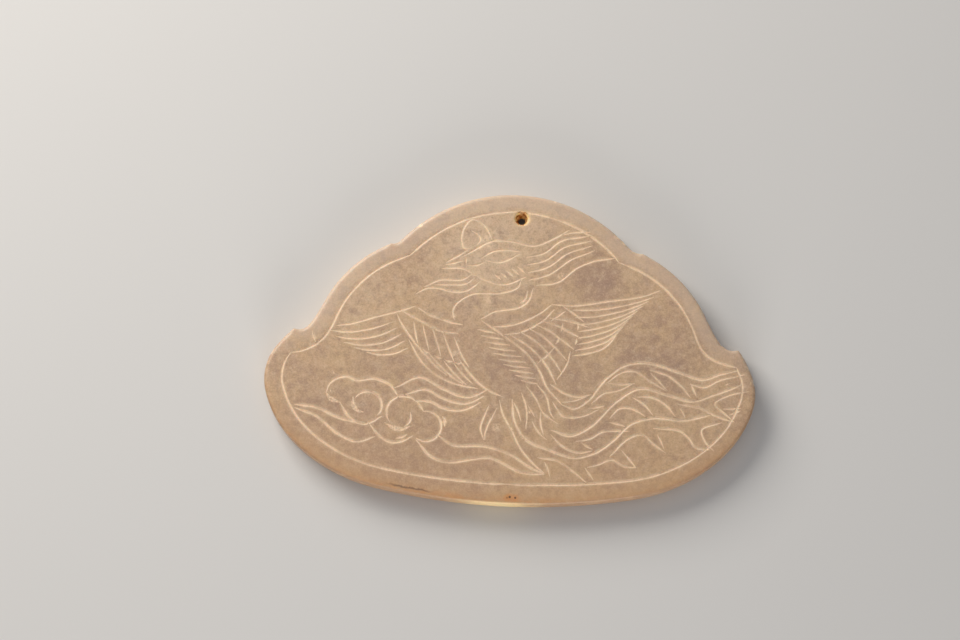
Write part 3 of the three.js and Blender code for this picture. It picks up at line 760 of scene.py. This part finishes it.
# A socket that takes part in sums, in a material or in geometry nodes.
class Wire:
    def __init__(self, tree, socket=None):
        self.tree = tree
        self.socket = socket

    def node(self, kind, settings=None, inputs=None, output=0):
        made = self.tree.nodes.new(kind)
        for name, value in (settings or {}).items():
            setattr(made, name, value)
        for name, value in (inputs or {}).items():
            if isinstance(value, Wire):
                self.tree.links.new(value.socket, made.inputs[name])
            else:
                made.inputs[name].default_value = value
        return Wire(self.tree, made.outputs[output] if made.outputs else None)

    def sum(self, operation, *values):
        return self.node("ShaderNodeMath", {"operation": operation}, dict(enumerate(values)))

    def __add__(self, other):
        return self.sum("ADD", self, other)

    def __sub__(self, other):
        return self.sum("SUBTRACT", self, other)

    def __mul__(self, other):
        return self.sum("MULTIPLY", self, other)

    def __truediv__(self, other):
        return self.sum("DIVIDE", self, other)

    def __rsub__(self, other):
        return self.sum("SUBTRACT", other, self)

    def __rtruediv__(self, other):
        return self.sum("DIVIDE", other, self)

    __radd__ = __add__
    __rmul__ = __mul__

    def least(self, other):
        return self.sum("MINIMUM", self, other)

    def most(self, other):
        return self.sum("MAXIMUM", self, other)

    # Runs smoothly from 0 to 1 between two values, or from 1 to 0 where the first is larger.
    def step(self, start, end):
        values = {"Value": self, "From Min": start, "From Max": end}
        return self.node("ShaderNodeMapRange", {"interpolation_type": "SMOOTHSTEP"}, values)

    def noise(self, scale, detail=2, roughness=0.5, distortion=0):
        values = {"Vector": self, "Scale": scale, "Detail": detail}
        values.update({"Roughness": roughness, "Distortion": distortion})
        return self.node("ShaderNodeTexNoise", None, values)

    def tint(self, other, factor):
        inputs = {0: factor, 6: self, 7: other}
        return self.node("ShaderNodeMix", {"data_type": "RGBA"}, inputs, 2)


# Sinks the grooves along the guides into the face, and gives the face its slight unevenness.
def engravingTree():
    tree = bpy.data.node_groups.new("engraving", "GeometryNodeTree")
    tree.interface.new_socket("Geometry", in_out="OUTPUT", socket_type="NodeSocketGeometry")
    for name, kind in (
        ("Geometry", "NodeSocketGeometry"),
        ("Lines", "NodeSocketObject"),
        ("Crescents", "NodeSocketObject"),
        ("Depth", "NodeSocketFloat"),
        ("Crescent Depth", "NodeSocketFloat"),
        ("Chatter", "NodeSocketFloat"),
        ("Unevenness", "NodeSocketFloat"),
        ("Seed", "NodeSocketFloat"),
        ("Material", "NodeSocketMaterial"),
    ):
        tree.interface.new_socket(name, in_out="INPUT", socket_type=kind)
    wire = Wire(tree)
    given = wire.node("NodeGroupInput").socket.node
    take = {socket.name: Wire(tree, socket) for socket in given.outputs if socket.name}
    place = wire.node("GeometryNodeInputPosition")
    flatPlace = wire.node("ShaderNodeVectorMath", {"operation": "MULTIPLY"}, {0: place, 1: (1, 1, 0)})
    inMm = {0: flatPlace, "Scale": 1 / mm}
    scaled = wire.node("ShaderNodeVectorMath", {"operation": "SCALE"}, inMm)
    shift = wire.node("ShaderNodeCombineXYZ", None, {"Z": take["Seed"]})
    seeded = wire.node("ShaderNodeVectorMath", {"operation": "ADD"}, {0: scaled, 1: shift})
    onFace = wire.node("GeometryNodeInputNamedAttribute", None, {"Name": "onFace"})
    stored = wire.node("GeometryNodeInputNamedAttribute", None, {"Name": "halfWidth"})
    wobble = (seeded.noise(2.6, 3) - 0.5) * take["Chatter"]
    coarse = (seeded.noise(0.55, 1) - 0.5) * take["Chatter"]

    # The half width of the nearest guide, and how many half widths away that guide is.
    def nearestGuide(guidesObject):
        guides = wire.node("GeometryNodeObjectInfo", None, {"Object": guidesObject}, "Geometry")
        spot = {0: guides, "Sample Position": flatPlace}
        distance = wire.node("GeometryNodeProximity", {"target_element": "EDGES"}, spot, "Distance")
        nearest = wire.node("GeometryNodeSampleNearest", None, spot)
        sampled = {0: guides, 1: stored, "Index": nearest}
        halfWidth = wire.node("GeometryNodeSampleIndex", None, sampled)
        return halfWidth, distance / (halfWidth * (wobble * 0.7 + coarse * 0.7 + 1))

    lineHalf, acrossLine = nearestGuide(take["Lines"])
    lineDepth = take["Depth"] * (lineHalf / (0.5 * engraving["bold"] * mm)).least(1) * (wobble + 1)
    lineDepth = lineDepth * (1 - acrossLine * acrossLine).most(0)
    _, acrossCrescent = nearestGuide(take["Crescents"])
    rough = seeded.noise(2.2, 3, 0.7) * 1.3 + 0.35
    crescentDepth = take["Crescent Depth"] * (1 - acrossCrescent * acrossCrescent).most(0) * rough
    hills = (seeded.noise(0.11, 2) - 0.5) * take["Unevenness"] * 2
    dents = (seeded.noise(0.6, 2) - 0.5) * take["Unevenness"] * 0.35
    sunk = ((hills + dents).least(0) - lineDepth.most(crescentDepth)) * onFace
    offset = wire.node("ShaderNodeCombineXYZ", None, {"Z": sunk})
    made = wire.node("GeometryNodeSetPosition", None, {0: take["Geometry"], "Offset": offset})
    for name, across in (("fromLine", acrossLine), ("fromCrescent", acrossCrescent)):
        value = (across + (1 - onFace) * 6).least(6)
        values = {0: made, "Name": name, "Value": value}
        made = wire.node("GeometryNodeStoreNamedAttribute", None, values)
    made = wire.node("GeometryNodeRealizeInstances", None, {0: made})
    made = wire.node("GeometryNodeSetMaterial", None, {0: made, "Material": take["Material"]})
    wire.node("NodeGroupOutput", None, {0: made})
    return tree


def engrave(plaqueObject, material):
    lines = buildGuides("lineGuides", linePaths)
    crescents = buildGuides("crescentGuides", crescentPaths)
    tree = engravingTree()
    modifier = plaqueObject.modifiers.new("engraving", "NODES")
    modifier.node_group = tree
    values = {
        "Lines": lines,
        "Crescents": crescents,
        "Depth": engraving["depth"] * mm,
        "Crescent Depth": engraving["crescentDepth"] * mm,
        "Chatter": engraving["chatter"],
        "Unevenness": engraving["unevenness"] * mm,
        "Seed": engraving["seed"],
        "Material": material,
    }
    for item in tree.interface.items_tree:
        if item.in_out == "INPUT" and item.name in values:
            modifier[item.identifier] = values[item.name]
    depsgraph = bpy.context.evaluated_depsgraph_get()
    evaluated = plaqueObject.evaluated_get(depsgraph)
    plain = bpy.data.meshes.new_from_object(
        evaluated, preserve_all_data_layers=True, depsgraph=depsgraph
    )
    plaqueObject.modifiers.clear()
    plaqueObject.data = plain
    plain.name = "carvedPlaque"
    for guides in (lines, crescents):
        bpy.data.objects.remove(guides)
    print("carved mesh:", len(plain.vertices), "points", len(plain.polygons), "faces")


# A colour as seen on a screen, 0 to 255, made linear.
def shade(red, green, blue):
    parts = [value / 255 for value in (red, green, blue)]
    linear = [c / 12.92 if c <= 0.04045 else ((c + 0.055) / 1.055) ** 2.4 for c in parts]
    return (*linear, 1)


jadeLook = {
    "body": shade(193, 160, 129),
    "straw": shade(203, 170, 132),
    "lilac": shade(162, 131, 113),
    "dusk": shade(156, 126, 102),
    "milky": shade(222, 195, 164),
    # pale colour of the band along the upper edge and of the painted rim highlight
    "paleEdgeAndHighlight": shade(214, 192, 170),
    # honey: warmer tone low on the face, and a painted glow along the lower rim
    "honey": shade(192, 150, 106),
    "frost": shade(252, 223, 188),
    "lowerRimBrown": shade(166, 130, 98),
    # amber: iron stain in the hole and round the pits, and a painted glow along the lower rim
    "amber": shade(206, 142, 80),
    "darkIron": shade(70, 38, 20),
    # glow: painted glow of light shining through the stone, on the lower rim and in the hole
    "glow": shade(255, 224, 164),
    "polish": 0.42,
    "frostedRoughness": 0.75,
    "subsurface": 0.4,
    "scatter": (1.0, 0.6, 0.34),
    "scatterReach": 0.0013,
    "refraction": 1.61,
    "bumpStrength": 0.4,
    "bumpDepth": 0.00006,
}

# The stone's patterns, from clouds to grains: scale per mm, detail, roughness and distortion.
patterns = {
    "cloudy": (0.1, 4, 0.6, 0.6),
    "hue": (0.42, 5, 0.66, 0.5),
    "mottled": (1.1, 4, 0.65),
    "grain": (3.6, 3, 0.65),
    "speckle": (7.5, 2, 0.6),
    "patchy": (0.45, 3),
    "frost": (4.2, 3, 0.7),
    "streaks": (3.2, 4, 0.8),
    "worn": (0.3, 3, 0.6),
    "scuffs": (1.9, 4, 0.75),
    "stain": (1.4, 3, 0.6),
    "ragged": (1.8, 3),
    "pits": (5.5, 2, 0.6),
    "toolMarks": (6.5, 2, 0.8),
}

# Soft patches on the face: place and reach in mm, strength, and the colour they bring. Besides the stone's
# mottling they hold painted light: the lilac ones lie mostly on the right and the straw and milky ones on
# the upper left and top, so the face is lighter at the upper left and top and darker to the right.
patches = {
    "lilac": [
        (15, 12.5, 6, 0.65), (27.5, -2.5, 6, 0.65), (-24, -3, 6, 0.4), (14, -14, 8, 0.45), (12, -5, 7, 0.5),
        (2, -2, 11, 0.4), (-16, -18, 12, 0.35), (-33, -11, 7, 0.3), (32, 3, 8, 0.4), (22, 0.5, 6, 0.6),
    ],
    "straw": [(-30, 4, 14, 0.6), (-18, 10, 9, 0.4), (-32, -5, 7, 0.35), (-3, 1, 5, 0.35), (5, 22, 8, 0.3)],
    "milky": [(-28, 9, 12, 0.4), (22, 14, 6, 0.2), (-5, 17, 17, 0.75), (2, 24, 12, 0.5)],
}

# The marks on the lower rim, in mm: the middle of each, where it fades along the edge, and
# where it fades away from the edge. The amber and the glow are painted glow of light through the stone; the
# vein is a dark stain.
lowerRim = {
    "amber": {"middle": -7, "along": (24, 4), "across": (1.9, 0.2)},
    "vein": {"middle": -16.5, "along": (4.6, 2), "across": (0.24, 0.06), "inside": 0.5},
    "glow": {"middle": 2.5, "along": (10, 0.5), "across": (0.5, 0.14)},
}

# Dark pits on the lower rim: place and reach in mm.
pits = [(0.4, -25.85, 0.24), (0.85, -25.7, 0.3), (1.8, -25.8, 0.27)]

# Spots where the surface is scuffed and pale: place and reach in mm, and strength.
scuffs = [
    (-5.2, 19, 1.2, 0.6), (-4.5, 17.9, 0.8, 0.8), (-6.2, 17.5, 0.6, 0.6), (-4.3, 20.2, 0.7, 0.6),
    (3.6, -10.8, 0.5, 0.9), (0.7, -13.8, 0.45, 0.9), (2.6, -15.3, 0.5, 0.9), (-2, -13.8, 1.1, 0.8),
    (8, 13.1, 0.8, 0.7), (1.9, 8, 1, 0.8), (-9.6, -1.4, 1.1, 0.6), (-10.3, 5.3, 0.6, 0.8),
    (-11.2, -13.2, 0.8, 0.8), (-27, -10.6, 0.9, 0.5), (-4.4, 8.4, 1.2, 0.4), (-34.2, 0.6, 0.8, 0.5),
]


def makeJade():
    material = bpy.data.materials.new("jade")
    material.use_nodes = True
    tree = material.node_tree
    tree.nodes.clear()
    wire = Wire(tree)
    objectPlace = wire.node("ShaderNodeTexCoord", output="Object")
    inMm = {0: objectPlace, "Scale": 1 / mm}
    place = wire.node("ShaderNodeVectorMath", {"operation": "SCALE"}, inMm)
    flat = wire.node("ShaderNodeVectorMath", {"operation": "MULTIPLY"}, {0: place, 1: (1, 1, 0)})
    separate = wire.node("ShaderNodeSeparateXYZ", None, {0: place}).socket.node
    x, y, z = (Wire(tree, output) for output in separate.outputs)

    def stored(name):
        return wire.node("ShaderNodeAttribute", {"attribute_name": name}, output="Fac")

    def pattern(name):
        return place.noise(*patterns[name])

    def farFrom(start, spot):
        ends = {0: start, 1: spot}
        return wire.node("ShaderNodeVectorMath", {"operation": "DISTANCE"}, ends, "Value")

    def spotMask(spot, edgeShare):
        px, py, reach, strength = spot
        return farFrom(flat, (px, py, 0)).step(reach, reach * edgeShare) * strength

    def off(value, centre):
        return (value - centre).most(centre - value)

    def strongest(masks):
        most = masks[0]
        for mask in masks[1:]:
            most = most.most(mask)
        return most

    fromLine, fromCrescent, fromRim = stored("fromLine"), stored("fromCrescent"), stored("fromRim")
    onTop = z.step(plaque["thickness"] - 1.2, plaque["thickness"] - 0.5)

    cloudy = pattern("cloudy")
    hue = pattern("hue")
    mottled = pattern("mottled")
    grain = pattern("grain")
    speckle = pattern("speckle")
    ground = {0: cloudy.step(0.42, 0.62), 6: jadeLook["body"], 7: jadeLook["straw"]}
    colour = wire.node("ShaderNodeMix", {"data_type": "RGBA"}, ground, 2)
    # The patches: the stone's mottling, and painted light, lighter at the upper left and top and darker to
    # the right.
    for name, spots in patches.items():
        masks = [spotMask(spot, 0.1) for spot in spots]
        colour = colour.tint(jadeLook[name], strongest(masks) * onTop * (hue * 1.2 + 0.4))
    colour = colour.tint(jadeLook["lilac"], hue.step(0.48, 0.68) * 0.5)
    colour = colour.tint(jadeLook["straw"], hue.step(0.48, 0.32) * 0.4)
    colour = colour.tint(jadeLook["dusk"], mottled.step(0.46, 0.72) * 0.5)
    colour = colour.tint(jadeLook["milky"], mottled.step(0.52, 0.28) * 0.45)
    colour = colour.tint(jadeLook["dusk"], grain.step(0.46, 0.72) * 0.36)
    colour = colour.tint(jadeLook["milky"], grain.step(0.52, 0.28) * 0.36)
    colour = colour.tint(jadeLook["dusk"], speckle.step(0.54, 0.72) * 0.25)

    upper = y.step(-6, 5)
    # Paler along the edge on the upper half.
    paleUpperBand = fromRim.step(3.3, 1.6) * upper * (mottled * 0.8 + 0.3).least(1)
    colour = colour.tint(jadeLook["paleEdgeAndHighlight"], paleUpperBand * 0.55)
    rim = fromRim.step(0.9, 0.1)
    # A painted highlight along the rim of the upper half, as from light above.
    colour = colour.tint(jadeLook["paleEdgeAndHighlight"], rim * upper * 0.5)
    below = y.step(-6, -20)
    patchy = pattern("patchy").step(0.34, 0.6)
    colour = colour.tint(jadeLook["honey"], y.step(-8, -24) * 0.25)
    # A painted orange glow along the lower rim, as of light shining through the stone.
    colour = colour.tint(jadeLook["honey"], below * fromRim.step(3.4, 0.3) * 0.5)
    amber, vein, glow = (lowerRim[name] for name in ("amber", "vein", "glow"))
    # A painted amber glow along the lower rim, as of light shining through the stone.
    orangeRimGlow = fromRim.step(*amber["across"]) * off(x, amber["middle"]).step(*amber["along"])
    colour = colour.tint(jadeLook["amber"], below * orangeRimGlow * patchy * 0.5)
    # Browner along the lower rim.
    colour = colour.tint(jadeLook["lowerRimBrown"], fromRim.step(0.5, 0.1) * y.step(-2, -12) * (patchy * 0.5 + 0.3))
    veined = off(fromRim - mottled * 0.8, vein["inside"]).step(*vein["across"])
    veined = veined * off(x, vein["middle"]).step(*vein["along"]) * below
    colour = colour.tint(jadeLook["darkIron"], veined * 0.55)
    # A painted glow on the lower wall and rim, where light shines through the stone.
    glowing = fromRim.step(*glow["across"]) * off(x + hue * 8, glow["middle"]).step(*glow["along"])
    colour = colour.tint(jadeLook["glow"], below * glowing * 0.85)

    frostNoise = pattern("frost")
    streaks = pattern("streaks").step(0.36, 0.6)
    worn = pattern("worn").step(0.36, 0.56) * 0.45 + 0.55
    lines = fromLine.step(1.2, 0.5) * (frostNoise.step(0.32, 0.6) * 0.4 + 0.6) * worn
    crescents = fromCrescent.step(1.2, 0.6) * (streaks * 0.75 + 0.2)
    frosting = lines.most(crescents)
    colour = colour.tint(jadeLook["milky"], fromLine.step(2.4, 0.8) * worn * 0.3)
    colour = colour.tint(jadeLook["frost"], frosting * 0.84)
    scuffed = [spotMask(spot, 0.2) for spot in scuffs]
    scuffing = strongest(scuffed) * onTop * pattern("scuffs").step(0.42, 0.56)
    colour = colour.tint(jadeLook["frost"], scuffing * 0.8)

    fromHole = farFrom(flat, (*hole["centre"].tolist(), 0))
    halo = fromHole.step(2, 1.2)
    inHole = fromHole.step(1.3, 1.2)
    stain = pattern("stain")
    # A painted glow round the hole's mouth and over the bore's walls, as of light through the stone; the
    # amber and dark iron on the walls are stains.
    colour = colour.tint(jadeLook["glow"], halo * (stain + 0.2) * 0.45)
    colour = colour.tint(jadeLook["glow"], inHole)
    colour = colour.tint(jadeLook["amber"], inHole * stain.step(0.44, 0.54))
    colour = colour.tint(jadeLook["darkIron"], inHole * stain.step(0.54, 0.62) * 0.6)
    for px, py, reach in pits:
        pit = farFrom(place, (px, py, plaque["thickness"] - 0.1))
        colour = colour.tint(jadeLook["amber"], pit.step(0.9, 0.3) * 0.6)
        colour = colour.tint(jadeLook["darkIron"], pit.step(reach, reach * 0.5) * 0.9)
    ragged = (pattern("ragged") - 0.5) * 0.9
    bites = [
        (farFrom(place, (px, py, pz)) + ragged).step(1.2 * size, 0.5 * size)
        for px, py, pz, size in nicks
    ]
    colour = colour.tint(jadeLook["frost"], strongest(bites) * 0.7)

    roughness = (mottled - 0.5) * 0.16 + (grain - 0.5) * 0.14 + jadeLook["polish"]
    frosted = frosting.most(scuffing)
    roughness = roughness + frosted * (jadeLook["frostedRoughness"] - jadeLook["polish"])
    roughness = (roughness + rim * 0.06 + halo * 0.1).least(0.95)
    pitted = pattern("pits").step(0.66, 0.75)
    height = (grain - 0.5) * 0.3 + (speckle - 0.5) * 0.15 - pitted * 0.5
    height = height + frosted * (pattern("toolMarks") - 0.5) * 1.8
    relief = {
        "Strength": jadeLook["bumpStrength"],
        "Distance": jadeLook["bumpDepth"],
        "Height": height,
    }
    bump = wire.node("ShaderNodeBump", None, relief)
    surface = wire.node(
        "ShaderNodeBsdfPrincipled",
        {"subsurface_method": "RANDOM_WALK"},
        {
            "Base Color": colour,
            "Roughness": roughness,
            "IOR": jadeLook["refraction"],
            "Normal": bump,
            "Subsurface Weight": jadeLook["subsurface"],
            "Subsurface Radius": jadeLook["scatter"],
            "Subsurface Scale": jadeLook["scatterReach"],
        },
    )
    wire.node("ShaderNodeOutputMaterial", None, {"Surface": surface})
    return material


jade = makeJade()
carved = buildPlaque()
engrave(carved, jade)
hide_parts("jade_plaque")
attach(carved, "root")
print("plaque done")


floorLook = {"size": 1.6, "colour": (0.66, 0.65, 0.635, 1), "roughness": 0.8}


def makeFloor():
    mesh = bpy.data.meshes.new("floor")
    reach = floorLook["size"] / 2
    corners = [(-reach, -reach, 0), (reach, -reach, 0), (reach, reach, 0), (-reach, reach, 0)]
    mesh.from_pydata(corners, [], [(0, 1, 2, 3)])
    floor = bpy.data.objects.new("floor", mesh)
    bpy.context.scene.collection.objects.link(floor)
    material = bpy.data.materials.new("floor")
    material.use_nodes = True
    material.node_tree.nodes.clear()
    wire = Wire(material.node_tree)
    surface = wire.node(
        "ShaderNodeBsdfPrincipled",
        None,
        {"Base Color": floorLook["colour"], "Roughness": floorLook["roughness"]},
    )
    wire.node("ShaderNodeOutputMaterial", None, {"Surface": surface})
    mesh.materials.append(material)


# Each light: where it stands, its size in metres, its power in watts and its colour.
studio = {
    "key": ((-0.27, 0.3, 0.28), 0.3, 2.4, (1, 0.95, 0.88)),
    "fill": ((0.02, -0.5, 0.09), 0.25, 1.6, (1, 0.97, 0.93)),
    "over": ((-0.1, 0.1, 0.9), 0.5, 0.5, (1, 0.98, 0.95)),
    "world": 0.25,
    "worldColour": (0.9, 0.93, 1, 1),
}


def makeLights():
    target = Vector((0, 0, 0))
    for name in ("key", "fill", "over"):
        place, size, power, tint = studio[name]
        data = bpy.data.lights.new(name, "AREA")
        data.size = size
        data.energy = power
        data.color = tint
        lamp = bpy.data.objects.new(name, data)
        lamp.location = place
        lamp.rotation_euler = (target - Vector(place)).to_track_quat("-Z", "Y").to_euler()
        bpy.context.scene.collection.objects.link(lamp)
    world = bpy.data.worlds.new("studio")
    world.use_nodes = True
    background = next(node for node in world.node_tree.nodes if node.type == "BACKGROUND")
    background.inputs["Color"].default_value = studio["worldColour"]
    background.inputs["Strength"].default_value = studio["world"]
    bpy.context.scene.world = world
    bpy.context.scene.view_settings.view_transform = "Standard"


# The photograph's view: nearly straight down on the face, from a little below its middle.
# Angles in degrees, the distance in metres, the lens and sensor in mm, and the aim in mm.
cameraView = {
    "tilt": 7,
    "roll": 2.6,
    "distance": 0.8,
    "lens": 173.4,
    "sensor": 36,
    "aside": -5.43,
    "above": 5.0,
}


def makeCamera():
    tilt, roll = math.radians(cameraView["tilt"]), math.radians(cameraView["roll"])
    middle = Vector((0, 0, high.z))
    away = Vector((0, -math.sin(tilt), math.cos(tilt)))
    place = middle + away * cameraView["distance"]
    upGuess = Vector((-math.sin(roll), math.cos(roll), 0))
    right = (-away).cross(upGuess).normalized()
    up = right.cross(-away).normalized()
    aim = middle + right * cameraView["aside"] * mm + up * cameraView["above"] * mm
    back = (place - aim).normalized()
    right = upGuess.cross(back).normalized()
    up = back.cross(right)
    data = bpy.data.cameras.new("camera")
    data.lens = cameraView["lens"]
    data.sensor_width = cameraView["sensor"]
    data.clip_start = 0.01
    camera = bpy.data.objects.new("camera", data)
    turn = Matrix((right, up, back)).transposed()
    camera.matrix_world = Matrix.Translation(place) @ turn.to_4x4()
    bpy.context.scene.collection.objects.link(camera)
    bpy.context.scene.camera = camera


makeFloor()
makeLights()
makeCamera()
print("stage done")
